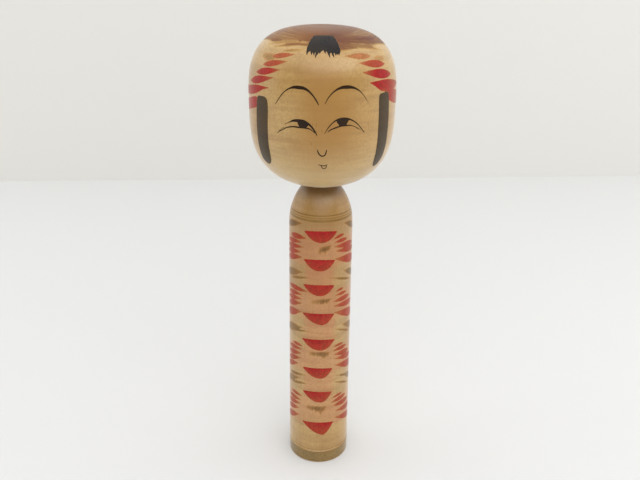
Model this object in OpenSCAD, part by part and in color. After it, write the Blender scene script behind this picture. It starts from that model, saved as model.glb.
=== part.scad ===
// Turned wooden doll in two pieces: a cylindrical body whose neck tenon
// plugs into a blind socket in the underside of a rounded-square head.
// The origin is the centre of the flat base, +Z is up and the face looks
// along -Y. Both pieces share the Z axis, and the head turns about it.

/* [Body] */
// Diameter of the body at the table
base_d = 42; // [38:0.5:46]
// Diameter of the body where the shoulder starts to close in
shoulder_d = 41; // [37:0.5:45]
// Height at which the straight wall ends and the shoulder arc begins
shoulder_z = 178.5; // [160:0.5:182]
// Radius of the arc that closes the shoulder towards the neck
shoulder_arc_r = 40; // [36:0.5:48]
// Height of the flat seat that carries the head
seat_z = 205.5; // [202:0.5:208]
// Rounding of the bottom edge
base_edge_r = 0.8; // [0.3:0.1:2]

/* [Turned groove above the base] */
// Height of the middle of the groove
groove_z = 10; // [6:0.5:20]
// Width of the groove at the surface
groove_w = 1.2; // [0.6:0.1:2]
// Depth of the groove
groove_depth = 0.5; // [0.2:0.1:1]

/* [Neck tenon and socket] */
// Diameter of the tenon
tenon_d = 15; // [12:0.5:16]
// Length of the tenon above the seat
tenon_l = 22; // [16:1:30]
// Chamfer on the tip of the tenon
tenon_chamfer = 1; // [0.5:0.1:2]
// Radial running clearance between tenon and socket
running_clearance = 0.05; // [0.02:0.01:0.1]
// Free depth left above the tip of the tenon
socket_gap = 2; // [1:0.5:4]

/* [Head] */
// Greatest diameter of the head
head_d = 88.5; // [80:0.5:96]
// Height of the head's widest level above the table
widest_z = 260.7; // [256:0.1:264]
// Height of the crown above the widest level
crown_h = 39.3; // [36:0.1:44]
// Depth of the chin's curve below the widest level, before its flat is cut
chin_h = 55.9; // [55.5:0.1:57]
// Exponent of the crown's half width: 1 is an ellipse, less is squarer
crown_side_exp = 0.66; // [0.5:0.01:1]
// Exponent of the crown's height: 1 is an ellipse, less is squarer
crown_top_exp = 0.71; // [0.5:0.01:1]
// Exponent of the chin's half width: 1 is an ellipse, less is squarer
chin_side_exp = 0.94; // [0.8:0.01:1]
// Exponent of the chin's depth: 1 is an ellipse, less is squarer
chin_under_exp = 0.55; // [0.45:0.01:0.8]

/* [Hidden] */
$fn = 128;
outline_step = 3;
edge_step = 15;
base_r = base_d / 2;
shoulder_r = shoulder_d / 2;
tenon_r = tenon_d / 2;
head_r = head_d / 2;
tenon_top = seat_z + tenon_l;
shoulder_end = asin((seat_z - shoulder_z) / shoulder_arc_r);

// The wall tapers evenly from the base to the shoulder.
function wall_r(z) = base_r + (shoulder_r - base_r) * z / shoulder_z;

// A point of the shoulder arc, which leaves the wall upright at angle 0.
function shoulder_point(a) = [
    shoulder_r - shoulder_arc_r * (1 - cos(a)),
    shoulder_z + shoulder_arc_r * sin(a)
];

// A point of the crown, from the widest level at 0 to the top at 90.
function crown_point(a) = [
    head_r * pow(cos(a), crown_side_exp),
    widest_z + crown_h * pow(sin(a), crown_top_exp)
];

// A point of the chin, from the widest level at 0 to the underside at 90.
function chin_point(a) = [
    head_r * pow(cos(a), chin_side_exp),
    widest_z - chin_h * pow(sin(a), chin_under_exp)
];

base_edge = [
    for (a = [0 : edge_step : 90])
        [base_r - base_edge_r * (1 - sin(a)), base_edge_r * (1 - cos(a))]
];
groove = [
    [wall_r(groove_z - groove_w / 2), groove_z - groove_w / 2],
    [wall_r(groove_z) - groove_depth, groove_z],
    [wall_r(groove_z + groove_w / 2), groove_z + groove_w / 2]
];
shoulder = [
    for (k = [0 : 14])
        shoulder_point(shoulder_end * k / 14)
];
tenon = [
    [tenon_r, seat_z],
    [tenon_r, tenon_top - tenon_chamfer],
    [tenon_r - tenon_chamfer, tenon_top],
    [0, tenon_top]
];

// Body turned in one piece with its neck tenon
module body() {
    color("burlywood")
        rotate_extrude()
            polygon(concat([[0, 0]], base_edge, groove, shoulder, tenon));
}

// Outline of the head before the flat for the seat is cut
module head_outline() {
    polygon(concat(
        [[0, widest_z - chin_h]],
        [for (a = [90 - outline_step : -outline_step : 0]) chin_point(a)],
        [for (a = [outline_step : outline_step : 90 - outline_step]) crown_point(a)],
        [[0, widest_z + crown_h]]
    ));
}

// Head with its flat underside and blind socket
module head() {
    color("tan")
        difference() {
            rotate_extrude()
                intersection() {
                    head_outline();
                    translate([0, seat_z])
                        square([head_d, crown_h + chin_h]);
                }
            translate([0, 0, seat_z - 1])
                cylinder(r = tenon_r + running_clearance, h = tenon_l + socket_gap + 1);
        }
}

body();
head();
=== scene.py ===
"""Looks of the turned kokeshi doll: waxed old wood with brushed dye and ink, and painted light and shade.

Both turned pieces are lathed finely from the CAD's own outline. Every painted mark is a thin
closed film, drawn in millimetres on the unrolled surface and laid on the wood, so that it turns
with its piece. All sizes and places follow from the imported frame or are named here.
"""
import math

import bpy
import numpy as np
from mathutils import Matrix, Vector
from mathutils.geometry import delaunay_2d_cdt
from mathutils.kdtree import KDTree


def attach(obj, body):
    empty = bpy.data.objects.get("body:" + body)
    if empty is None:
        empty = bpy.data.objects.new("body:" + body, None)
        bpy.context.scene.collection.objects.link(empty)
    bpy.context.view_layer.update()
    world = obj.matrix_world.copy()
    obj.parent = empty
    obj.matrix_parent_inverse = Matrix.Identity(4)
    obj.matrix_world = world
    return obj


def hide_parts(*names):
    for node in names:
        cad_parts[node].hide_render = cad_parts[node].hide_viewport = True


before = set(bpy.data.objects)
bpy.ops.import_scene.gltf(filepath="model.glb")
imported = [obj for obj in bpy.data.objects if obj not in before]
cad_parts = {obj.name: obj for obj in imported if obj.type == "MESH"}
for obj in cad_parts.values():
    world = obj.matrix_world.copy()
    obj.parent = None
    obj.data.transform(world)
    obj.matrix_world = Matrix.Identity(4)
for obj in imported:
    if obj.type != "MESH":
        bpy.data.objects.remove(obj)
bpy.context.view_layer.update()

MM = 0.001
rng = np.random.default_rng(7)

# ---------------------------------------------------------------- camera

# The camera's place in m, how far it looks down, its slight tilt, and its lens on a 36 mm sensor.
CAMERA_AT = (-0.0004, -0.423, 0.344)
CAMERA_DOWN = math.radians(22.95)
CAMERA_ROLL = math.radians(0.65)
FOCAL_MM = 39.4
SENSOR_MM = 36


def make_camera():
    """The main camera, which looks down at the doll from the front."""
    data = bpy.data.cameras.new("camera")
    data.lens = FOCAL_MM
    data.sensor_width = SENSOR_MM
    data.clip_start = 0.01
    data.clip_end = 20
    camera = bpy.data.objects.new("camera", data)
    aim = Matrix.Rotation(math.pi / 2 - CAMERA_DOWN, 4, "X") @ Matrix.Rotation(CAMERA_ROLL, 4, "Z")
    camera.matrix_world = Matrix.Translation(CAMERA_AT) @ aim
    bpy.context.scene.collection.objects.link(camera)
    bpy.context.scene.camera = camera


make_camera()

# ---------------------------------------------------------------- turned outlines


def smooth_curve(points, step):
    """A smooth curve through the rows of points, with a point about every step along it."""
    p = np.asarray(points, float)
    chord = np.linalg.norm(np.diff(p, axis=0), axis=1)
    t = np.concatenate([[0], np.cumsum(np.sqrt(chord))])
    slope = np.gradient(p, t, axis=0)
    rows = [p[:1]]
    for k in range(len(p) - 1):
        h = t[k + 1] - t[k]
        n = max(1, math.ceil(chord[k] / step))
        x = (np.arange(1, n + 1) / n)[:, None]
        rows.append(
            (2 * x**3 - 3 * x**2 + 1) * p[k]
            + (x**3 - 2 * x**2 + x) * h * slope[k]
            + (3 * x**2 - 2 * x**3) * p[k + 1]
            + (x**3 - x**2) * h * slope[k + 1]
        )
    return np.vstack(rows)


def rims(node):
    """The (radius, height) in mm of each ring of vertices on a turned CAD node."""
    co = np.array([v.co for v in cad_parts[node].data.vertices]) / MM
    return np.unique(np.stack([np.hypot(co[:, 0], co[:, 1]), co[:, 2]], 1).round(2), axis=0)


def corners_only(outline, flat=0.012):
    """Drops the points of an outline that lie on the straight line between their neighbours."""
    a, b, c = outline[:-2], outline[1:-1], outline[2:]
    along = (c - a) / np.linalg.norm(c - a, axis=1)[:, None]
    off = np.abs((b - a)[:, 0] * along[:, 1] - (b - a)[:, 1] * along[:, 0])
    return outline[np.concatenate([[True], off > flat, [True]])]


class Turned:
    """The outer outline of a turned piece, in mm, and points on its surface."""

    def __init__(self, outline):
        self.r, self.z = outline[:, 0], outline[:, 1]
        self.s = np.concatenate([[0], np.cumsum(np.hypot(np.diff(self.r), np.diff(self.z)))])
        dr, dz = np.gradient(self.r, self.s), np.gradient(self.z, self.s)
        up = 1 if self.z[-1] > self.z[0] else -1
        self.nr, self.nz = up * dz / np.hypot(dr, dz), -up * dr / np.hypot(dr, dz)

    def at(self, angle, s, lift):
        """Points at an angle from the front and s along the outline, lift above the wood."""
        r = np.interp(s, self.s, self.r) + np.interp(s, self.s, self.nr) * lift
        z = np.interp(s, self.s, self.z) + np.interp(s, self.s, self.nz) * lift
        return np.stack([r * np.sin(angle), -r * np.cos(angle), z], 1)


HEAD_RIMS, BODY_RIMS = rims("head"), rims("body")
SEAT_Z = HEAD_RIMS[:, 1].min()
TOP_Z = HEAD_RIMS[:, 1].max()
HEAD_R = HEAD_RIMS[:, 0].max()
WIDEST_Z = HEAD_RIMS[HEAD_RIMS[:, 0].argmax(), 1]
SOCKET_R = HEAD_RIMS[HEAD_RIMS[:, 1] == SEAT_Z, 0].min()
SOCKET_TOP = HEAD_RIMS[np.abs(HEAD_RIMS[:, 0] - SOCKET_R) < 0.02, 1]
SOCKET_TOP = SOCKET_TOP[SOCKET_TOP < WIDEST_Z].max()
BODY_R = BODY_RIMS[:, 0].max()
TENON = BODY_RIMS[BODY_RIMS[:, 1] > SEAT_Z + 0.1]
TENON_R = TENON[:, 0].max()
SEAT_R = BODY_RIMS[np.abs(BODY_RIMS[:, 1] - SEAT_Z) < 0.02, 0].max()
WALL_FOOT = 15  # a height in mm between the groove above the base and the plain wall
SEAT = SEAT_Z * MM
AROUND_HEAD, AROUND_BODY = 288, 192  # faces round each turned piece


def head_outline():
    """From the crown's centre down to the edge of the flat underside, without the socket."""
    outer = HEAD_RIMS[(HEAD_RIMS[:, 0] > SOCKET_R + 0.5) | (HEAD_RIMS[:, 1] > SOCKET_TOP + 5)]
    outer = outer[np.argsort(-np.arctan2(outer[:, 1] - WIDEST_Z, outer[:, 0]))]
    return smooth_curve(corners_only(outer), 0.5)


def body_outline():
    """From the rounded bottom edge up to the edge of the seat."""
    outer = BODY_RIMS[(BODY_RIMS[:, 1] <= SEAT_Z) & (BODY_RIMS[:, 0] > SEAT_R - 0.02)]
    outer = outer[np.argsort(outer[:, 1])]
    foot, shoulder = outer[outer[:, 1] < WALL_FOOT], outer[outer[:, 1] > WALL_FOOT]
    shoulder = smooth_curve(corners_only(shoulder), 0.5)
    wall = np.linspace(foot[-1], shoulder[0], 20)[1:-1]
    return np.vstack([foot, wall, shoulder])


HEAD, BODY = Turned(head_outline()), Turned(body_outline())
PAINTED_ON = {"head": HEAD, "body": BODY}

# ---------------------------------------------------------------- meshes


def add_mesh(name, verts, faces, body, material):
    """A mesh object from points in mm, riding on a CAD body."""
    mesh = bpy.data.meshes.new(name)
    mesh.from_pydata((np.asarray(verts) * MM).tolist(), [], faces)
    mesh.update()
    mesh.shade_smooth()
    mesh.materials.append(material)
    piece = bpy.data.objects.new(name, mesh)
    bpy.context.scene.collection.objects.link(piece)
    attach(piece, body)
    return piece


def lathe(name, outline, around, body, material):
    """A closed solid turned from an outline whose two ends lie on the axis."""
    rings = outline[1:-1]
    n = len(rings)
    a = np.arange(around) * 2 * math.pi / around
    verts = np.stack(
        [
            np.outer(rings[:, 0], np.sin(a)),
            -np.outer(rings[:, 0], np.cos(a)),
            np.repeat(rings[:, 1:], around, 1),
        ],
        2,
    ).reshape(-1, 3)
    verts = np.vstack([verts, [0, 0, outline[0, 1]], [0, 0, outline[-1, 1]]])
    first, last = n * around, n * around + 1
    faces = []
    for k in range(around):
        j = (k + 1) % around
        faces += [(i * around + k, i * around + j, i * around + around + j, i * around + around + k)
                  for i in range(n - 1)]
        faces.append((first, j, k))
        faces.append((last, (n - 1) * around + k, (n - 1) * around + j))
    if outline[0, 1] > outline[-1, 1]:
        faces = [f[::-1] for f in faces]
    piece = add_mesh(name, verts, faces, body, material)
    piece.data.set_sharp_from_angle(angle=math.radians(25))
    return piece


# ---------------------------------------------------------------- brushwork in the flat

# A mark is a closed outline and a guide: rows of (across, along, strength) inside it.


def stroke(*points, step=0.4):
    """A brush stroke through points (across, along, width, strength)."""
    path = smooth_curve([(*p, 1.0)[:4] for p in points], step)
    way = np.gradient(path[:, :2], axis=0)
    way /= np.linalg.norm(way, axis=1)[:, None]
    side = np.stack([-way[:, 1], way[:, 0]], 1) * np.maximum(path[:, 2:3], 0.06) / 2
    return np.vstack([path[:, :2] + side, (path[:, :2] - side)[::-1]]), path[1:-1, [0, 1, 3]]


def petal(tip, end, width, bow=0.0, strength=1.0):
    """A teardrop from a thin, faint tip to a round end, bowed sideways by bow."""
    tip, end = np.array(tip, float), np.array(end, float)
    way = end - tip
    side = np.array([-way[1], way[0]]) / np.linalg.norm(way) * bow
    # How far along the petal, with the share of its width and of its strength there.
    rows = [(0, 0.1, 0.5), (0.15, 0.42, 0.8), (0.35, 0.8, 1), (0.57, 1, 1), (0.78, 0.82, 1),
            (0.92, 0.45, 0.9), (1, 0.1, 0.8)]
    return stroke(*[(*(tip + way * t + side * 4 * t * (1 - t)), width * w, strength * f)
                    for t, w, f in rows])


def cap(left, right, top, depth, low):
    """A bowl: nearly straight along the top, deepest at low, paler towards the bottom."""
    drop = 0.8  # how far the ends of the top edge hang below its middle
    u = np.linspace(left, right, 49)
    middle, half = (left + right) / 2, (right - left) / 2
    reach = np.where(u < low, (low - u) / (low - left), (u - low) / (right - low))
    rim = top - drop * np.abs((u - middle) / half) ** 2
    lower = rim - depth * (1 - reach ** (2.2 - 0.2 * abs(low)))
    outline = np.vstack([np.stack([u, rim], 1), np.stack([u, lower], 1)[::-1][1:-1]])
    fall = np.linspace(0.08, 0.92, 8)
    across = np.linspace(0.15, 0.85, 6)
    guide = [(left + (right - left) * a, top - depth * f * 4 * a * (1 - a), 1.08 - 0.16 * f)
             for f in fall for a in across]
    return outline, np.array(guide)


def blob(outline, strength=1.0):
    """A filled outline of one strength."""
    outline = np.asarray(outline, float)
    return outline, np.array([[*outline.mean(0), strength]])


def inside(points, outline):
    """Which points lie in a closed outline."""
    x, y = points[:, :1], points[:, 1:2]
    a, b = outline, np.roll(outline, -1, axis=0)
    spans = (a[:, 1] > y) != (b[:, 1] > y)
    with np.errstate(divide="ignore", invalid="ignore"):
        cross = a[:, 0] + (y - a[:, 1]) * (b[:, 0] - a[:, 0]) / (b[:, 1] - a[:, 1])
    return (np.sum(spans & (x < cross), axis=1) % 2).astype(bool)


def closest(points, targets):
    """For each point, the index of the closest target and its distance."""
    tree = KDTree(len(targets))
    for k, t in enumerate(targets):
        tree.insert((t[0], t[1], 0), k)
    tree.balance()
    found = [tree.find((p[0], p[1], 0)) for p in points]
    return np.array([f[1] for f in found], int), np.array([f[2] for f in found])


def fill(marks, pitch):
    """Triangles filling the union of the marks, with depth inside it and strength at each point."""
    shapes = [m[0] for m in marks]
    guides = np.vstack([m[1] for m in marks])
    rim_points = np.vstack(shapes)
    owner = np.repeat(np.arange(len(shapes)), [len(s) for s in shapes])
    edges = []
    start = 0
    for s in shapes:
        edges += [(start + k, start + (k + 1) % len(s)) for k in range(len(s))]
        start += len(s)
    # Where one mark's rim runs inside another mark, it is no edge of the union.
    buried = np.zeros(len(rim_points), bool)
    for k, s in enumerate(shapes):
        buried |= inside(rim_points, s) & (owner != k)
    # A grid of nearly equal triangles, kept clear of the rims and the guides.
    lo, hi = rim_points.min(0), rim_points.max(0)
    gx, gy = np.meshgrid(np.arange(lo[0], hi[0], pitch), np.arange(lo[1], hi[1], pitch * 0.87))
    gx[1::2] += pitch / 2
    fixed = np.vstack([rim_points, guides[:, :2]])
    grid = np.stack([gx.ravel(), gy.ravel()], 1)
    grid = grid[np.any([inside(grid, s) for s in shapes], axis=0)]
    if len(grid):
        grid = grid[closest(grid, fixed)[1] > pitch * 0.45]
    points = np.vstack([fixed, grid])
    made, _, triangles, *_ = delaunay_2d_cdt([Vector(p) for p in points], edges, [], 0, 1e-5)
    flat = np.array(made)
    centres = np.array([flat[list(t)].mean(0) for t in triangles])
    keep = np.any([inside(centres, s) for s in shapes], axis=0)
    depth = closest(flat, rim_points[~buried])[1]
    strength = guides[closest(flat, guides)[0], 2]
    return flat, [t for t, k in zip(triangles, keep) if k], depth, strength


# ---------------------------------------------------------------- films of paint

# Each kind of film has its face at its own height above the wood, in mm, so that faces that overlap
# never lie in one another. All of them reach down to SINK below it.
STAIN_LIFT, LEAF_LIFT, PETAL_LIFT, LIFT, SINK = 0.02, 0.03, 0.04, 0.05, 0.06


def on_face(flat):
    """Drawing (x across, s down from the crown's centre), seen straight from the front."""
    r = np.interp(flat[:, 1], HEAD.s, HEAD.r)
    return np.arcsin(np.clip(flat[:, 0] / r, -1, 1)), flat[:, 1]


def round_head(flat):
    """Drawing (distance round the head at its widest, s down from the crown's centre)."""
    return flat[:, 0] / HEAD_R, flat[:, 1]


def on_crown(flat):
    """Drawing in plan: (x across, y back) over the crown."""
    r = np.hypot(flat[:, 0], flat[:, 1])
    top = HEAD.z > WIDEST_Z
    return np.arctan2(flat[:, 0], -flat[:, 1]), np.interp(r, HEAD.r[top], HEAD.s[top])


def round_body(flat):
    """Drawing (distance round the body, height above the table)."""
    return flat[:, 0] / BODY_R, np.interp(flat[:, 1], BODY.z, BODY.s)


def film(name, marks, chart, body, material, pitch=0.7, lift=LIFT):
    """A thin closed skin over the wood of a body, filling the marks drawn in a chart."""
    turned = PAINTED_ON[body]
    flat, triangles, depth, strength = fill(marks, pitch)
    used = sorted({v for t in triangles for v in t})
    place = {v: k for k, v in enumerate(used)}
    angle, s = chart(flat[used])
    n = len(used)
    verts = np.vstack([turned.at(angle, s, lift), turned.at(angle, s, -SINK)])
    a, b, c = (verts[[place[t[k]] for t in triangles]] for k in range(3))
    out = (a + b + c) * (1, 1, 0) / 3 + turned_up(a, b, c)
    faces = []
    for t, facing in zip(triangles, np.einsum("ij,ij->i", np.cross(b - a, c - a), out) > 0):
        t = [place[v] for v in (t if facing else t[::-1])]
        faces.append(t)
        faces.append([v + n for v in t[::-1]])
    rim = {(t[k], t[(k + 1) % 3]) for t in faces[::2] for k in range(3)}
    faces += [(p, p + n, q + n, q) for p, q in rim if (q, p) not in rim]
    piece = add_mesh(name, verts, faces, body, material)
    painted(piece, np.tile(depth[used], 2), np.tile(strength[used], 2))


def painted(piece, depth, strength):
    """Gives a film its depth inside the mark, in mm, and its strength of colour, per vertex."""
    for name, values in (("edge", depth), ("strength", strength)):
        attribute = piece.data.attributes.new(name, "FLOAT", "POINT")
        attribute.data.foreach_set("value", values.astype(np.float32))
    piece.data.set_sharp_from_angle(angle=math.radians(40))


def turned_up(a, b, c):
    """An upward push for faces on the crown, where outward means up."""
    middle = (a + b + c) / 3
    push = np.zeros_like(middle)
    push[:, 2] = np.where(middle[:, 2] > WIDEST_Z, (middle[:, 2] - WIDEST_Z) * 2, 0)
    return push


# ---------------------------------------------------------------- materials

# Pale wood, painted light: on the chin and lower head, and as a highlight under the fringe.
PAINTED_LIGHT_WOOD = (0.70, 0.51, 0.235, 1)
WOOD_PALE = (0.615, 0.415, 0.163, 1)
WOOD_TAN = (0.53, 0.315, 0.098, 1)
WOOD_BROWN = (0.30, 0.145, 0.034, 1)
# Brown patina on the face, partly painted shade on its front.
PATINA_AND_SHADE = (0.38, 0.178, 0.022, 1)
# Dark brown of painted shade, on the neck under the head.
SHADE_UNDER_HEAD = (0.13, 0.06, 0.022, 1)
RED = (0.43, 0.012, 0.015, 1)
DARK_RED = (0.27, 0.012, 0.012, 1)
BLED_RED = (0.58, 0.06, 0.034, 1)
FADED_ORANGE = (0.172, 0.054, 0.017, 1)
FADED_MAUVE = (0.130, 0.035, 0.020, 1)
FADED_PINK = (0.21, 0.033, 0.045, 1)
BLACK = (0.018, 0.016, 0.016, 1)
LINE_BLACK = (0.020, 0.010, 0.005, 1)
GREEN = (0.125, 0.075, 0.020, 1)
BROWN_GREEN = (0.125, 0.075, 0.018, 1)
HEART_BROWN = (0.110, 0.050, 0.011, 1)
OLIVE = (0.22, 0.15, 0.055, 1)
DARK_OLIVE = (0.15, 0.098, 0.032, 1)


class Tree:
    """A material's nodes, added by kind with their inputs set or linked by name."""

    def __init__(self, name):
        self.material = bpy.data.materials.new(name)
        self.material.use_nodes = True
        self.nodes = self.material.node_tree.nodes
        self.links = self.material.node_tree.links
        self.nodes.clear()

    def add(self, kind, inputs=(), **settings):
        node = self.nodes.new("ShaderNode" + kind)
        for key, value in settings.items():
            setattr(node, key, value)
        for key, value in dict(inputs).items():
            if isinstance(value, bpy.types.NodeSocket):
                self.links.new(value, node.inputs[key])
            else:
                node.inputs[key].default_value = value
        return node

    def math(self, operation, a, b=0.0, clamp=False):
        return self.add("Math", {0: a, 1: b}, operation=operation, use_clamp=clamp).outputs[0]

    def ramp(self, value, low, high, to_low=0.0, to_high=1.0):
        """A smooth step from to_low, where the value is low, to to_high, where it is high."""
        ends = {"Value": value, "From Min": low, "From Max": high, "To Min": to_low, "To Max": to_high}
        return self.add("MapRange", ends, interpolation_type="SMOOTHSTEP").outputs["Result"]

    def mix(self, share, a, b):
        """Colour a, turning into colour b as the share goes from 0 to 1."""
        node = self.add("Mix", data_type="RGBA")
        for socket, value in ((node.inputs[0], share), (node.inputs[6], a), (node.inputs[7], b)):
            if isinstance(value, bpy.types.NodeSocket):
                self.links.new(value, socket)
            else:
                socket.default_value = value
        return node.outputs[2]

    def noise(self, vector, scale, detail=2.0, rough=0.5):
        inputs = {"Vector": vector, "Scale": scale, "Detail": detail, "Roughness": rough}
        return self.add("TexNoise", inputs).outputs[0]

    def layers(self, w, scale, detail, rough):
        """Noise that changes only with w."""
        inputs = {"W": w, "Scale": scale, "Detail": detail, "Roughness": rough}
        return self.add("TexNoise", inputs, noise_dimensions="1D").outputs[0]

    def stretched(self, vector, scale):
        """The vector, scaled by a factor of its own along each axis."""
        return self.add("Mapping", {"Vector": vector, "Scale": scale}).outputs[0]

    def distance(self, a, b):
        """The distance from the origin of a point at a, b."""
        squares = self.math("ADD", self.math("POWER", a, 2.0), self.math("POWER", b, 2.0))
        return self.math("POWER", squares, 0.5)

    def film_values(self):
        """The depth inside a film's mark, in mm, and its strength of colour."""
        return [self.add("Attribute", attribute_name=name, attribute_type="GEOMETRY").outputs["Fac"]
                for name in ("edge", "strength")]


# Where the tree's pith ran, across and behind the doll's axis, in m.
PITH = (-0.052, 0.034)
# The spot under the fringe where a pale patch is painted as a highlight, in m.
FRINGE = (0.002, -0.0385, 0.2868)


def wood(t):
    """Colour, roughness and height of waxed, old, turned wood, at a point of the doll, with painted light
    and shade.
    """
    at = t.add("TexCoord").outputs["Object"]
    parts = t.add("SeparateXYZ", {0: at})
    x, y, z = parts.outputs
    blotch = t.noise(at, 55, 4, 0.6)
    haze = t.noise(t.stretched(at, (1, 1, 0.6)), 22, 2, 0.5)
    fibre = t.noise(t.stretched(at, (1, 1, 0.035)), 1900, 3, 0.65)
    pores = t.noise(t.stretched(at, (1, 1, 0.18)), 3200, 1, 0.5)
    mottle = t.noise(at, 750, 4, 0.7)
    from_pith = t.distance(t.math("SUBTRACT", x, PITH[0]), t.math("SUBTRACT", y, PITH[1]))
    bend = t.math("MULTIPLY", t.noise(t.stretched(at, (1, 1, 0.3)), 30, 2), 0.006)
    rings = t.layers(t.math("ADD", from_pith, bend), 520, 3, 0.6)
    turning = t.layers(z, 2600, 3, 0.7)
    wiped = t.noise(t.stretched(at, (0.07, 0.07, 1)), 260, 3, 0.6)
    colour = t.mix(t.ramp(haze, 0.3, 0.7), WOOD_PALE, WOOD_TAN)
    for pattern, low, high, share in (
        (blotch, 0.45, 0.8, 0.45), (rings, 0.5, 0.78, 0.14), (fibre, 0.45, 0.75, 0.15),
        (pores, 0.62, 0.8, 0.16), (turning, 0.5, 0.8, 0.13), (mottle, 0.4, 0.68, 0.36),
        (wiped, 0.42, 0.66, 0.34),
    ):
        colour = t.mix(t.ramp(pattern, low, high, 0.0, share), colour, WOOD_BROWN)
    colour = aged_with_painted_light(t, at, y, z, haze, blotch, colour)
    rough = t.math("ADD", t.ramp(blotch, 0.3, 0.75, 0.27, 0.38), t.ramp(fibre, 0.4, 0.8, 0.0, 0.08))
    height = t.math("ADD", t.math("MULTIPLY", fibre, 0.5), t.math("MULTIPLY", turning, 0.6))
    return colour, rough, height, fibre, blotch, mottle


def aged_with_painted_light(t, at, y, z, haze, blotch, colour):
    """The wood's colour changed by age and use, with painted shade on the neck and face and painted light on
    the chin and forehead.
    """
    on_body = t.ramp(z, SEAT - 0.0001, SEAT + 0.0001, 1.0, 0.0)
    on_head = t.ramp(z, SEAT - 0.0001, SEAT + 0.0001)
    # The body's wood darker towards the top.
    darker_up = t.math("MULTIPLY", t.ramp(z, 0.02, 0.195, 0.0, 0.31), on_body)
    colour = t.mix(darker_up, colour, WOOD_BROWN)
    at_rings = t.math("MULTIPLY", t.ramp(z, 0.173, 0.180), t.ramp(z, 0.189, 0.196, 1.0, 0.0))
    at_rings = t.math("MULTIPLY", at_rings, t.ramp(y, -0.020, -0.004, 0.46, 0.1))
    colour = t.mix(at_rings, colour, WOOD_BROWN)
    # Patina round the brows and down the face, partly painted shade on the face's front.
    brow = t.add("Mapping", {"Vector": at, "Location": (-0.002, 0.046, -0.157), "Scale": (1.35, 1, 0.62)})
    to_brow = t.add("VectorMath", {0: brow.outputs[0]}, operation="LENGTH").outputs["Value"]
    patina_and_shade = t.math("MULTIPLY", t.ramp(to_brow, 0.006, 0.036, 0.9, 0.0), t.ramp(haze, 0.3, 0.7, 0.8, 1))
    colour = t.mix(patina_and_shade, colour, PATINA_AND_SHADE)
    # A pale patch under the fringe: a painted highlight, the reflection of a bright window.
    to_fringe = t.add("VectorMath", {0: at, 1: FRINGE}, operation="DISTANCE").outputs["Value"]
    painted_highlight = t.math("MULTIPLY", t.ramp(to_fringe, 0.006, 0.013, 0.06, 0.0), t.ramp(blotch, 0.4, 0.6, 0.4, 1.0))
    colour = t.mix(painted_highlight, colour, PAINTED_LIGHT_WOOD)
    # The chin and lower head paler: painted light, as if bounced up from the table.
    painted_light_chin = t.math("MULTIPLY", t.ramp(z, 0.210, 0.245, 0.55, 0.0), on_head)
    colour = t.mix(painted_light_chin, colour, PAINTED_LIGHT_WOOD)
    # Dark brown round the neck under the head: painted shade.
    painted_shade_under_head = t.math("MULTIPLY", t.ramp(z, 0.192, 0.2045), t.ramp(z, SEAT, 0.209, 0.6, 0.0))
    return t.mix(painted_shade_under_head, colour, SHADE_UNDER_HEAD)


# How deep the fibres and turning marks are, in m.
RELIEF = 0.000012


def finish(t, colour, rough, height, gloss, sheen=0.0):
    """Closes a material with a waxed surface."""
    normal = t.add("Bump", {"Height": height, "Distance": RELIEF, "Strength": 1.0}).outputs[0]
    shader = t.add("BsdfPrincipled", {"Base Color": colour, "Roughness": rough, "Normal": normal})
    shader.inputs["Specular IOR Level"].default_value = gloss
    shader.inputs["Sheen Weight"].default_value = sheen
    shader.inputs["Sheen Roughness"].default_value = 0.32
    out = t.add("OutputMaterial")
    t.links.new(shader.outputs[0], out.inputs[0])
    return t.material


def bare_wood(name):
    """Wood without any paint."""
    t = Tree(name)
    colour, rough, height, *_ = wood(t)
    return finish(t, colour, rough, height, gloss=0.7, sheen=0.45)


def dyed_wood(name, dye, cover, soft, wear, gloss, sheen=0.5, deep=None, bled=0.0):
    """Wood under dye or ink that reaches its full cover soft mm inside the mark's edge.

    Bled is the share of red dye that the wood around the mark has already taken up.
    """
    t = Tree(name)
    colour, rough, height, fibre, blotch, mottle = wood(t)
    if bled:
        colour = t.mix(bled, colour, BLED_RED)
    edge, strength = t.film_values()
    frayed = t.math("ADD", edge, t.ramp(fibre, 0.3, 0.7, -soft * 0.4, soft * 0.4))
    share = t.math("MULTIPLY", t.ramp(frayed, 0.0, soft), strength)
    share = t.math("MULTIPLY", share, t.ramp(blotch, 0.35, 0.75, cover, cover * (1 - wear)))
    share = t.math("MULTIPLY", share, t.ramp(fibre, 0.45, 0.8, 1.0, 1 - wear * 0.7), clamp=True)
    if deep:
        dye = t.mix(t.ramp(mottle, 0.42, 0.62), dye, deep)
    return finish(t, t.mix(share, colour, dye), rough, height, gloss, sheen)


# The crown's streaks meet this far in front of the axis and behind it, in m.
STREAKS_MEET = 0.028
# The band, in m from the axis, over which the crown's dye turns pinker and its gaps close.
CROWN_RIM = (0.0345, 0.038)


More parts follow.
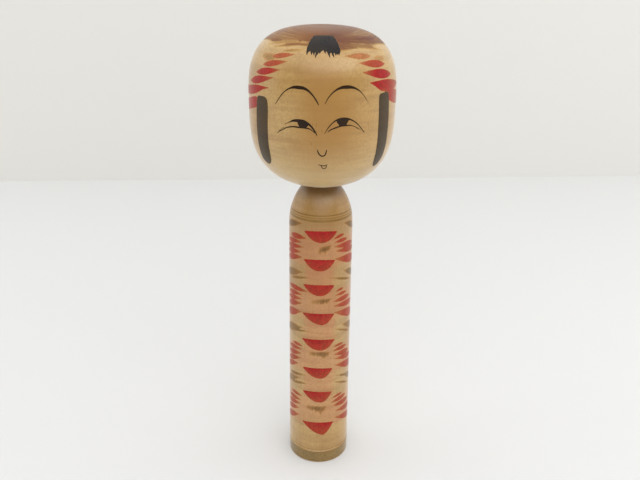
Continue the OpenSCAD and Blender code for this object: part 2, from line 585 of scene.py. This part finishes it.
def crown_dye(name):
    """Faded dye in long streaks that spread from the forelock and close again at the back."""
    t = Tree(name)
    colour, rough, height, _, blotch, _ = wood(t)
    at = t.add("TexCoord").outputs["Object"]
    x, y, _ = t.add("SeparateXYZ", {0: at}).outputs
    from_front = t.math("ARCTAN2", x, t.math("ADD", y, STREAKS_MEET))
    from_back = t.math("ARCTAN2", x, t.math("SUBTRACT", STREAKS_MEET, y))
    sweep = t.math("ADD", from_front, from_back)
    along = t.add("CombineXYZ", {0: sweep, 1: t.math("MULTIPLY", y, 4.0)}).outputs[0]
    broad = t.noise(along, 3.4, 2, 0.5)
    fine = t.noise(along, 14, 3, 0.6)
    hairs = t.noise(along, 34, 2, 0.5)
    edge, strength = t.film_values()
    frayed = t.math("ADD", edge, t.ramp(broad, 0.35, 0.65, -0.3, 0.3))
    aside = t.ramp(t.math("ABSOLUTE", x), 0.008, 0.021, 0.1, 1.0)
    gaps = t.math("ADD", t.ramp(broad, 0.36, 0.58, 0.22, 0.0), t.ramp(fine, 0.48, 0.7, 0.0, 0.3))
    gaps = t.math("ADD", gaps, t.ramp(hairs, 0.55, 0.68, 0.0, 0.3))
    from_axis = t.distance(x, y)
    gaps = t.math("MULTIPLY", gaps, t.ramp(from_axis, *CROWN_RIM, 1.0, 0.25))
    gaps = t.math("ADD", t.math("MULTIPLY", gaps, aside), t.ramp(aside, 0.1, 1.0, 0.06, 0.0))
    share = t.math("MULTIPLY", t.ramp(frayed, 0.0, 1.0), t.math("SUBTRACT", 1.0, gaps))
    share = t.math("MULTIPLY", share, strength)
    share = t.math("MULTIPLY", share, t.ramp(blotch, 0.4, 0.75, 1.0, 0.85), clamp=True)
    right = t.mix(t.ramp(from_axis, *CROWN_RIM), FADED_MAUVE, FADED_PINK)
    dye = t.mix(t.ramp(x, -0.008, 0.01), FADED_ORANGE, right)
    return finish(t, t.mix(share, colour, dye), rough, height, gloss=0.15)


HEAD_WOOD = bare_wood("head_wood")
BODY_WOOD = bare_wood("body_wood")
INK = dyed_wood("black_ink", BLACK, cover=1.0, soft=0.12, wear=0.06, gloss=0.15, sheen=0.0)
FINE_INK = dyed_wood("fine_black_ink", LINE_BLACK, cover=1.0, soft=0.08, wear=0.04, gloss=0.2, sheen=0.1)
RED_DYE = dyed_wood("red_dye", RED, cover=0.95, soft=0.25, wear=0.1, gloss=0.12, sheen=0.15, deep=DARK_RED)
RED_BLEED = dyed_wood("bled_red_dye", BLED_RED, cover=0.30, soft=5.0, wear=0.3, gloss=0.7, sheen=0.45)
CROWN_DYE = crown_dye("faded_red_dye")
GREEN_DYE = dyed_wood("green_dye", GREEN, cover=0.88, soft=0.8, wear=0.35, gloss=0.15, sheen=0.3,
                      bled=0.12)
HEART_DYE = dyed_wood("heart_dye", HEART_BROWN, cover=0.86, soft=1.3, wear=0.3, gloss=0.2, sheen=0.3,
                      bled=0.2)
RING_INK = dyed_wood("ring_ink", BROWN_GREEN, cover=0.6, soft=0.3, wear=0.6, gloss=0.3)
BASE_STAIN = dyed_wood("base_stain", OLIVE, cover=0.85, soft=0.15, wear=0.3, gloss=0.3, deep=DARK_OLIVE)

# ---------------------------------------------------------------- turned pieces


def make_wood():
    """The two turned pieces, which stand in for the CAD's own."""
    seat_to_socket = [
        [SOCKET_R, SEAT_Z],
        [SOCKET_R, SOCKET_TOP],
        [0, SOCKET_TOP],
    ]
    outline = np.vstack([[[0, TOP_Z]], np.stack([HEAD.r, HEAD.z], 1)[1:], seat_to_socket])
    head = lathe("head_turned", outline, AROUND_HEAD, "head", HEAD_WOOD)
    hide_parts("head")
    tenon_tip = TENON[TENON[:, 1] == TENON[:, 1].max()]
    tenon = [
        [TENON_R, SEAT_Z],
        [TENON_R, TENON[TENON[:, 0] == TENON_R, 1].max()],
        [tenon_tip[:, 0].max(), tenon_tip[0, 1]],
        [0, tenon_tip[0, 1]],
    ]
    outline = np.vstack([[[0, 0]], np.stack([BODY.r, BODY.z], 1), tenon])
    body = lathe("body_turned", outline, AROUND_BODY, "body", BODY_WOOD)
    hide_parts("body")


make_wood()

# ---------------------------------------------------------------- the painted face


def paint_face():
    """Two brows drawn round the head, and eyes, nose and mouth drawn from straight in front."""
    brows = {
        "brow_left": [stroke(
            (-27.8, 69.4, 0.5), (-24.5, 64.7, 0.6), (-21, 61.1, 0.7), (-18, 59.4, 1.0),
            (-15.5, 58.8, 1.7), (-13, 58.8, 2.0), (-10.5, 59, 1.8), (-8, 60.1, 1.3),
            (-5, 62.9, 0.9), (-3, 65.8, 0.8), (-1.9, 67.9, 0.5),
        )],
        "brow_right": [stroke(
            (1.4, 67.2, 0.4), (3.5, 63.5, 0.6), (6, 60.8, 0.8), (8.5, 59.2, 1.2),
            (11, 58.4, 1.7), (13.5, 58.3, 2.0), (16, 58.5, 1.7), (18.5, 59.2, 1.1),
            (21, 60.6, 0.7), (24, 63.6, 0.45), (27.3, 67.9, 0.25),
        )],
    }
    for name, marks in brows.items():
        film(name, marks, round_head, "head", FINE_INK, pitch=0.4)
    features = {
        "eye_left": [
            stroke((-20.8, 79.8, 0.3), (-18, 78.1, 0.6), (-16, 77.2, 1.3), (-14, 76.9, 1.7),
                   (-12, 76.8, 1.6), (-10, 77, 1.5), (-8, 78, 1.3), (-6, 79.7, 1.1),
                   (-4, 82.3, 0.9), (-2.7, 84.7, 0.5)),
            stroke((-25.1, 85.6, 0.4), (-24, 84.3, 0.5), (-22, 83, 0.6), (-20, 81.6, 0.7),
                   (-18, 80.9, 0.8), (-16, 80.5, 0.9), (-13, 80.6, 1.0), (-10, 80.7, 0.9),
                   (-7, 81.1, 0.8), (-5.5, 82, 0.6), (-4, 83.2, 0.4)),
            stroke((-24.3, 84.3, 0.25), (-22.6, 82.6, 0.3), (-21, 81.4, 0.25)),
            blob([(-13.8, 77.4), (-13.2, 79.2), (-12.2, 80.6), (-8.7, 80.6), (-7.2, 78.9),
                  (-7.2, 77.8), (-10, 76.6), (-13, 76.8)]),
        ],
        "eye_right": [
            stroke((1.3, 83.9, 0.3), (2.5, 81.8, 0.5), (4, 79.6, 0.6), (6, 77.4, 0.7),
                   (8, 76.1, 1.0), (10, 75.6, 1.4), (12, 75.4, 1.4), (14, 75.6, 1.2),
                   (16, 76.3, 0.9), (18, 77.5, 0.7), (20, 79.3, 0.6), (22, 81.9, 0.5),
                   (23.9, 84.4, 0.5)),
            stroke((3.1, 82.8, 0.4), (4.5, 81.6, 0.7), (6, 80.9, 0.8), (8, 80.2, 0.9),
                   (10, 79.6, 0.8), (12, 79.4, 0.8), (14, 79.3, 0.8), (16, 79.5, 0.6),
                   (18, 80.1, 0.3), (20, 81.4, 0.3), (21.8, 82.9, 0.2)),
            stroke((15.5, 79.4, 0.3), (18.5, 80.6, 0.25), (20.6, 82.2, 0.2)),
            blob([(7.9, 76), (8.2, 77.5), (9.3, 78.8), (9.2, 79.8), (13.6, 79.5), (13.6, 78.4),
                  (14.8, 76.5), (14.8, 75.9), (11, 75.2)]),
        ],
        "nose": [
            stroke((-2.4, 92.9, 0.5), (-2, 94.6, 0.75), (-1, 96.2, 0.8), (0.4, 96.9, 0.85),
                   (1.8, 96.2, 0.8), (2.4, 94.6, 0.75), (2.7, 93, 0.55)),
        ],
        "mouth": [
            stroke((-1.8, 102.5, 0.55), (-0.4, 102.9, 0.6), (1.2, 103.2, 0.65), (2.2, 103, 0.6),
                   (3.3, 102.4, 0.5)),
            stroke((-0.2, 103.2, 0.5), (0.1, 104.3, 0.55), (0.7, 105, 0.6), (1.6, 105.2, 0.6),
                   (2.4, 104.7, 0.55), (2.7, 103.7, 0.5), (2.5, 103, 0.4)),
        ],
    }
    for name, marks in features.items():
        film(name, marks, on_face, "head", FINE_INK, pitch=0.4)


def paint_hair():
    """The forelock with its ragged fringe, and the two side locks."""
    tuft = smooth_curve(
        [(-8.7, 38.8), (-8.8, 37), (-8.3, 35), (-7.3, 31.5), (-6.2, 28.4), (-5.2, 25.9), (-4, 25.1),
         (0, 24.9), (4.2, 25), (5.6, 25.8), (6.5, 27.7), (8, 32), (9.1, 35.8), (9.6, 38)], 0.5)
    fringe = [(9.4, 39.6), (5, 39.6), (3, 39.4), (1.6, 38.4), (0.2, 37.8), (-1, 38.8), (-3, 39.2),
              (-5, 39.6), (-6.8, 38.6), (-8.3, 39.4)]
    roots_and_tips = [
        (-8.3, 38.2, -8.7, 41.2), (-6.2, 38.6, -6.1, 41), (-4.9, 38.8, -4.8, 41.3),
        (-3.0, 38.6, -4.3, 43), (-2.7, 38.6, -2.8, 40.8), (-1.6, 38.2, -1.7, 40.2),
        (0.9, 37.6, 1.4, 40), (2.6, 38.4, 4.0, 42.6), (3.6, 38.8, 3.3, 41.4), (5, 38.8, 6.1, 42.4),
        (5.2, 39, 5.3, 41.3), (6.8, 39, 7, 41.2), (8.6, 38.6, 8.8, 41.1), (7.6, 39, 8, 40.8),
    ]
    hairs = [stroke((a, b, 1.3), ((a + c) / 2, (b + d) / 2, 1.0), (c, d, 0.2))
             for a, b, c, d in roots_and_tips]
    film("forelock", [blob(np.vstack([tuft, fringe])), *hairs], on_face, "head", INK,
         pitch=0.6)
    left = [(-42.5, 66.5), (-36, 66.4), (-34.2, 67.8), (-33.6, 72), (-34, 82), (-34.4, 92), (-34.5, 100),
            (-35.2, 103.8), (-37.6, 106.8), (-40.6, 107.8), (-43.4, 107.2), (-45.5, 105), (-45.9, 98),
            (-45.7, 88), (-45.3, 78), (-44.6, 71), (-43.7, 67.8), (-42.5, 66.5)]
    right = [(36.4, 63.9), (43.8, 63.8), (45.2, 65.3), (46.1, 70), (46.6, 78), (46.8, 90), (46.9, 98),
             (46.2, 104.6), (43.6, 108), (40.8, 108.8), (38.4, 107.8), (37, 104.4), (36.4, 98),
             (35.9, 88), (35.7, 76), (35.4, 68), (35.6, 65), (36.4, 63.9)]
    for name, outline in (("sidelock_left", left), ("sidelock_right", right)):
        film(name, [blob(smooth_curve(outline, 0.5)[:-1], 0.9)], round_head, "head", INK)


def paint_ribbons():
    """Red strokes stacked above the side locks, the upper ones faded."""
    left = [
        petal((-18, 41), (-35, 43.6), 3.4, 0, 0.75),
        petal((-22, 45.4), (-41, 49), 3.7, 0, 0.85),
        petal((-26, 50.4), (-46.5, 54), 4.2, 0, 1),
        petal((-30, 55), (-54, 60), 4.6, 0, 1),
        stroke((-33, 61, 0.5, 0.8), (-38, 61.6, 2, 1), (-44, 63, 4.6, 1), (-52, 64.8, 5.4, 1),
               (-62, 66.4, 4.8, 0.9), (-72, 68, 4, 0.6), (-76, 68.8, 1, 0.3)),
        stroke((-41, 69, 2.5, 0.9), (-45.5, 70.6, 6.2, 1), (-54, 73, 6.6, 0.95), (-63, 75.2, 6.6, 0.8),
               (-73, 77.8, 5, 0.55), (-78, 78.8, 1.2, 0.3)),
    ]
    right = [
        petal((14, 41.6), (33, 42.6), 3.8, 0, 0.5),
        petal((22.5, 46), (44, 48.2), 4.6, 0, 0.92),
        petal((24, 51.2), (49, 54.6), 5.6, 0, 1.05),
        stroke((28.5, 57, 0.5, 0.9), (32.5, 58, 3, 1.05), (38, 59.5, 6.2, 1.05), (45, 60.4, 7, 1),
               (52, 61, 5.6, 0.95), (58, 61.2, 3, 0.8), (62, 61.2, 0.8, 0.5)),
        stroke((41, 63.2, 2.5, 0.95), (46, 65.4, 6.4, 1), (54, 68, 8, 0.9), (62, 69.8, 7.4, 0.7),
               (71, 71.5, 6, 0.5), (77, 72.4, 1.5, 0.3)),
    ]
    film("ribbons_left", left, round_head, "head", RED_DYE, lift=PETAL_LIFT)
    film("ribbons_right", right, round_head, "head", RED_DYE, lift=PETAL_LIFT)


def seen_from_above(mark):
    """A mark drawn round the head, redrawn in plan."""
    outline, guide = mark
    moved = []
    for rows in (outline, guide[:, :2]):
        angle, s = round_head(rows)
        r = np.interp(s, HEAD.s, HEAD.r)
        moved.append(np.stack([r * np.sin(angle), -r * np.cos(angle)], 1))
    return moved[0], np.column_stack([moved[1], guide[:, 2]])


def paint_crown():
    """A faded, streaked fan over the crown, fraying into strokes, and green smudges beside it."""
    around = np.linspace(0, 2 * math.pi, 180, endpoint=False)
    # The fan's edge is a little uneven. At the left front it ends sooner, and only the strokes go on.
    left_front = np.sqrt(np.clip(-np.cos(around), 0, 1)) * np.clip(-1.5 * np.sin(around), 0, 1)
    reach = 35.6 - 3.4 * left_front + 0.5 * np.sin(5 * around) + 0.4 * np.sin(11 * around + 1)
    rim = np.stack([reach * np.sin(around), reach * np.cos(around)], 1)
    within = rim[::6] * 0.9
    fan = rim, np.column_stack([within, np.ones(len(within))])
    strokes = [
        stroke((-11, 30.6, 1), (-20, 29.6, 3.4), (-30, 29.9, 4), (-38, 31.4, 3), (-46, 33.8, 0.6)),
        stroke((-11, 34.3, 0.8, 0.8), (-19, 34.3, 2.2, 0.9), (-27, 35.4, 2.8, 0.85),
               (-38, 37.8, 0.6, 0.6)),
        stroke((-13, 32.4, 1, 0.4), (-22, 32.6, 2.6, 0.45), (-31, 33.4, 2.8, 0.45), (-40, 35.2, 2, 0.35),
               (-47, 37, 0.6, 0.2)),
        petal((-12, 37.6), (-28, 39.6), 2.4, 0, 0.6),
        stroke((12, 30, 1), (20, 30.4, 3), (32, 31.4, 4), (44, 33.6, 3.4), (53, 36.2, 0.6)),
        stroke((11, 34.2, 1, 0.9), (18, 35, 3.2, 0.85), (28, 36, 3.6, 0.8), (38, 37.8, 3, 0.7),
               (47, 40.2, 0.6, 0.4)),
    ]
    film("crown_fan", [fan, *map(seen_from_above, strokes)], on_crown, "head",
         CROWN_DYE, pitch=0.8, lift=STAIN_LIFT)
    smudges = [stroke((-33.5, -21, 1, 0.4), (-29.5, -26.5, 2.5, 0.6), (-24, -31, 1, 0.4)),
               stroke((34, -21, 1, 0.2), (31.5, -24.5, 2, 0.3), (28.8, -27.6, 1, 0.2))]
    film("temple_smudges", smudges, on_crown, "head", GREEN_DYE, lift=LEAF_LIFT)


# ---------------------------------------------------------------- the painted body

# The two red bowls of each of the four stacked flowers, from the top down: left and right ends,
# height of the top, depth, and where across it is deepest.
BOWLS = [
    (-11.3, 11.4, 179.5, 8.2, 0.5), (-11.8, 10.4, 160.1, 8.3, 0), (-11.9, 10, 142.3, 8.2, 0),
    (-12.7, 10.3, 121.4, 8.7, 1.5), (-12.9, 11, 101.9, 8.7, 0.5), (-12.4, 9.8, 79.6, 8.5, 1),
    (-12.2, 9.4, 60.6, 9.1, 1), (-12.7, 11, 35, 10.9, 3),
]
# The side petals of each flower, from the thin tip to the round end: distances round the body from
# the front, heights above the table, and width.
PETALS_LEFT = [
    [(9.2, 173.6, 24, 172.6, 4.2), (12.5, 170.3, 29, 167.8, 3.5), (11.3, 167.2, 30, 163.8, 3.7),
     (13, 163.6, 30, 159.8, 3.9), (12.4, 160.2, 30, 155, 4.6)],
    [(8.2, 136.5, 27, 136, 4.0), (12, 133.4, 28, 131, 3.6), (12.3, 130.2, 29, 126.7, 3.8),
     (12.6, 127, 29, 121.8, 4.5), (13, 120.7, 31, 114, 5.9)],
    [(11.3, 94.5, 22, 94.3, 2.7), (12.3, 92, 27, 90, 3.6), (13, 88.7, 28, 84.6, 4.2),
     (13.4, 85, 29, 79, 4.3), (15.6, 80, 31, 73, 4.5)],
    [(11.6, 54.2, 24, 54.3, 2.9), (13, 50.8, 27, 49.2, 3.6), (13.2, 47.8, 29, 44.2, 4.1),
     (14.6, 43.6, 30, 38.6, 4.3), (14.4, 38.2, 32, 30.2, 5.3)],
]
PETALS_RIGHT = [
    [(8, 173.1, 17, 175.4, 2.4), (8.8, 170.8, 20, 171.5, 2.9), (8.6, 168.1, 29, 166.2, 4.3),
     (9.6, 165.1, 32, 161.6, 4.2), (9.6, 159.8, 34, 153.4, 6.4)],
    [(10.3, 135.8, 17.6, 137.2, 2.0), (10.2, 133.2, 20.8, 133.6, 2.5), (8.4, 129.2, 25, 129.4, 3.9),
     (8.8, 125.9, 31, 123.4, 4.5), (9.8, 121.2, 34, 113, 6.6)],
    [(9.2, 94.8, 18.6, 95.4, 2.1), (9, 91.8, 22, 92.3, 3.2), (9.6, 88.8, 26, 86.6, 4.4),
     (10, 85.5, 32, 81, 4.4), (11, 80.5, 34, 72.6, 6.0)],
    [(8.7, 53.8, 18.6, 55.2, 2.4), (8.2, 50.2, 23, 52, 3.8), (10, 47.3, 27, 46.2, 4.6),
     (12, 42.5, 33, 38.6, 4.8), (11.4, 37.1, 34, 29, 5.4)],
]
# The heights between which red has bled out of each flower's petals.
PETAL_ZONES = [(153, 176), (115, 139), (74, 97), (30, 57)]
# The green sprigs above each flower, drawn in the same way as its petals.
SPRIGS_LEFT = [(13, 183, 31, 177.6, 5.0), (12, 149.6, 32, 143.4, 5.8), (7, 146.6, 24, 142.2, 2.4),
               (12, 109, 33, 101.6, 6.4), (7, 107.2, 23, 103.4, 2.2), (14, 68.8, 33, 59.8, 5.2),
               (7.5, 66, 23, 62, 2.6), (9, 72.4, 27, 68, 2.8)]
SPRIGS_RIGHT = [(17, 182.6, 31, 176.4, 4.8), (17, 149.8, 32, 142.4, 5.4), (4, 147.6, 27, 140.4, 2.2),
                (16.5, 110.2, 33, 102.8, 5.6), (8.6, 109.2, 27, 100.8, 2.0), (18.5, 69.8, 33, 61.2, 4.8),
                (8, 68, 27, 59.2, 2.0), (12, 71.6, 26, 66, 2.2)]
# The green heart of each flower: rows of (across, top, length, strength) of its bristle marks,
# which lie BRISTLE apart.
BRISTLE = 1.0
HEARTS = [
    [(-0.5, 168.2, 4.2, 0.7), (3, 169.3, 5.6, 1), (6.2, 169.6, 3.6, 1)],
    [(-5, 130.8, 2.4, 0.2), (0.3, 131.9, 3.8, 0.8), (3.5, 132.2, 4.4, 1), (6.8, 132.1, 3.2, 1)],
    [(-6, 91.8, 3, 0.5), (-1, 92.2, 3.8, 0.65), (0.5, 92.3, 4.4, 1), (3, 92.2, 5, 1),
     (6, 91.4, 3, 0.7)],
    [(-8, 48.4, 3, 0.5), (-4, 48.5, 4, 0.7), (-1, 48.6, 5.2, 0.85), (1.5, 48.4, 6.5, 0.65),
     (4.4, 48.4, 4, 0.6)],
]


def side_marks(side, rows, bow, strength):
    """Petals drawn from rows, on the left for side -1 and on the right for side 1."""
    return [petal((side * u, v), (side * eu, ev), width, side * bow, strength)
            for u, v, eu, ev, width in rows]


def paint_body():
    """Four flowers stacked down the front, with their bled dye, petals, sprigs and hearts."""
    bleeds = [stroke(*[(end, (low + high) / 2, high - low, 0.85) for end in (-34, 34)], step=1)
              for low, high in PETAL_ZONES]
    bleeds.append(stroke((0, 185, 1, 0.1), (0, 183, 16, 0.2), (0, 177, 28, 0.7), (0, 160, 24, 0.9),
                         (0, 120, 26, 0.9), (0, 60, 26, 0.85), (0, 40, 26, 0.7), (0, 30, 18, 0.3),
                         (0, 27, 1, 0.1), step=1))
    film("bled_dye", bleeds, round_body, "body", RED_BLEED, pitch=1.0, lift=STAIN_LIFT)
    film("flower_bowls", [cap(*row) for row in BOWLS], round_body, "body", RED_DYE)
    for name, side, flowers, sprigs in (("left", -1, PETALS_LEFT, SPRIGS_LEFT),
                                        ("right", 1, PETALS_RIGHT, SPRIGS_RIGHT)):
        petals = [mark for rows in flowers for mark in side_marks(side, rows, 0.5, 0.87)]
        film("flower_petals_" + name, petals, round_body, "body", RED_DYE, lift=PETAL_LIFT)
        leaves = side_marks(side, sprigs, 0.6, 0.9)
        film("leaves_" + name, leaves, round_body, "body", GREEN_DYE, lift=LEAF_LIFT)
    hearts = []
    for rows in HEARTS:
        u, top, length, strength = np.array(rows).T
        for x in np.arange(u[0], u[-1] + 0.1, BRISTLE):
            high, fall, shade = (np.interp(x, u, v) for v in (top, length, strength))
            fall *= rng.uniform(0.75, 1.15)
            shade *= rng.uniform(0.8, 1.1)
            hearts.append(stroke((x + 0.7, high + 0.3, 1.6, shade * 0.85), (x, high - fall / 2, 2, shade),
                                 (x - 0.7, high - fall, 1.2, shade * 0.6)))
    film("flower_hearts", hearts, round_body, "body", HEART_DYE)


def band(name, low, high, material, strength=1.0):
    """A painted ring right round the body between two heights."""
    heights = np.linspace(low, high, max(3, round((high - low) / 0.6) + 1))
    around = AROUND_BODY
    angle = np.arange(around) * 2 * math.pi / around
    s = np.interp(heights, BODY.z, BODY.s)
    rows = [BODY.at(angle, np.full(around, v), LIFT) for v in s]
    rows += [BODY.at(angle, np.full(around, v), -SINK) for v in s[::-1]]
    faces = []
    for i in range(len(rows)):
        j = (i + 1) % len(rows)
        faces += [(i * around + k, i * around + (k + 1) % around, j * around + (k + 1) % around,
                   j * around + k) for k in range(around)]
    piece = add_mesh(name, np.vstack(rows), faces, "body", material)
    depth = np.minimum(heights - low, high - heights)
    depth = np.repeat(np.concatenate([depth, depth[::-1]]), around)
    painted(piece, depth, np.full(len(depth), strength))


paint_face()
paint_hair()
paint_ribbons()
paint_crown()
paint_body()
band("shoulder_ring_upper", 188.4, 189.4, RING_INK, 1.1)
band("shoulder_ring_middle", 186.9, 187.8, RING_INK, 0.7)
band("shoulder_ring_lower", 184.9, 186.6, RING_INK, 0.9)
band("base_line", 10.9, 11.7, RING_INK)
band("base_band", 0.9, 9.3, BASE_STAIN)

# ---------------------------------------------------------------- stage and light


def plain(name, colour, rough):
    """An even colour for the stage."""
    t = Tree(name)
    shader = t.add("BsdfPrincipled", {"Base Color": colour, "Roughness": rough})
    out = t.add("OutputMaterial")
    t.links.new(shader.outputs[0], out.inputs[0])
    return t.material


def sheet(name, corners, material):
    """A flat part of the stage, from its four corners."""
    mesh = bpy.data.meshes.new(name)
    mesh.from_pydata(corners, [], [(0, 1, 2, 3)])
    mesh.materials.append(material)
    piece = bpy.data.objects.new(name, mesh)
    bpy.context.scene.collection.objects.link(piece)


def area(name, at, aim, radiance, width, height):
    """A lamp of the given width and height in m whose face has the given brightness."""
    data = bpy.data.lights.new(name, "AREA")
    data.shape = "RECTANGLE"
    data.size, data.size_y = width, height
    data.energy = radiance * math.pi * width * height
    lamp = bpy.data.objects.new(name, data)
    lamp.location = at
    lamp.rotation_mode = "QUATERNION"
    lamp.rotation_quaternion = (Vector(aim) - Vector(at)).to_track_quat("-Z", "Y")
    bpy.context.scene.collection.objects.link(lamp)


# Where each lamp is and what it aims at, in m, then its brightness, width and height.
LAMPS = {
    "ceiling": ((0.3, -0.5, 1.8), (0.3, -0.5, 0), 1.28, 4, 4),
    "window": ((0.35, -1.1, 1.3), (0, 0, 0.28), 1.35, 2.2, 0.8),
    "front": ((0.2, -1.6, 0.75), (0, 0, 0.2), 0.45, 1.3, 1.3),
    "left": ((-1.15, 0.1, 0.6), (0, 0, 0.12), 0.99, 1, 1),
    "right": ((1.15, 0.05, 0.6), (0, 0, 0.12), 0.95, 1, 1),
}
# How far the wall is behind the doll, in m, and how far it is turned from the camera's own plane.
WALL_BEHIND = 0.64
WALL_TURN = math.radians(3.7)
TABLE_WHITE = (0.71, 0.71, 0.705, 1)
WALL_WHITE = (0.814, 0.80, 0.76, 1)
# The faint light from all round.
SKY_WHITE = (0.95, 0.97, 1, 1)
SKY_STRENGTH = 0.13


def make_stage():
    """A pale table and wall, with soft lamps and a little light from all round."""
    corners = [(-4, -4, 0), (4, -4, 0), (4, 4, 0), (-4, 4, 0)]
    sheet("floor", corners, plain("floor", TABLE_WHITE, 0.6))
    corners = [(x * math.cos(WALL_TURN), WALL_BEHIND + x * math.sin(WALL_TURN), z)
               for x, z in ((-2, 0), (2, 0), (2, 1.4), (-2, 1.4))]
    sheet("wall", corners, plain("wall", WALL_WHITE, 0.7))
    for name, settings in LAMPS.items():
        area(name, *settings)
    world = bpy.data.worlds.new("studio")
    world.use_nodes = True
    background = world.node_tree.nodes["Background"]
    background.inputs["Color"].default_value = SKY_WHITE
    background.inputs["Strength"].default_value = SKY_STRENGTH
    bpy.context.scene.world = world
    bpy.context.scene.view_settings.view_transform = "Standard"


make_stage()
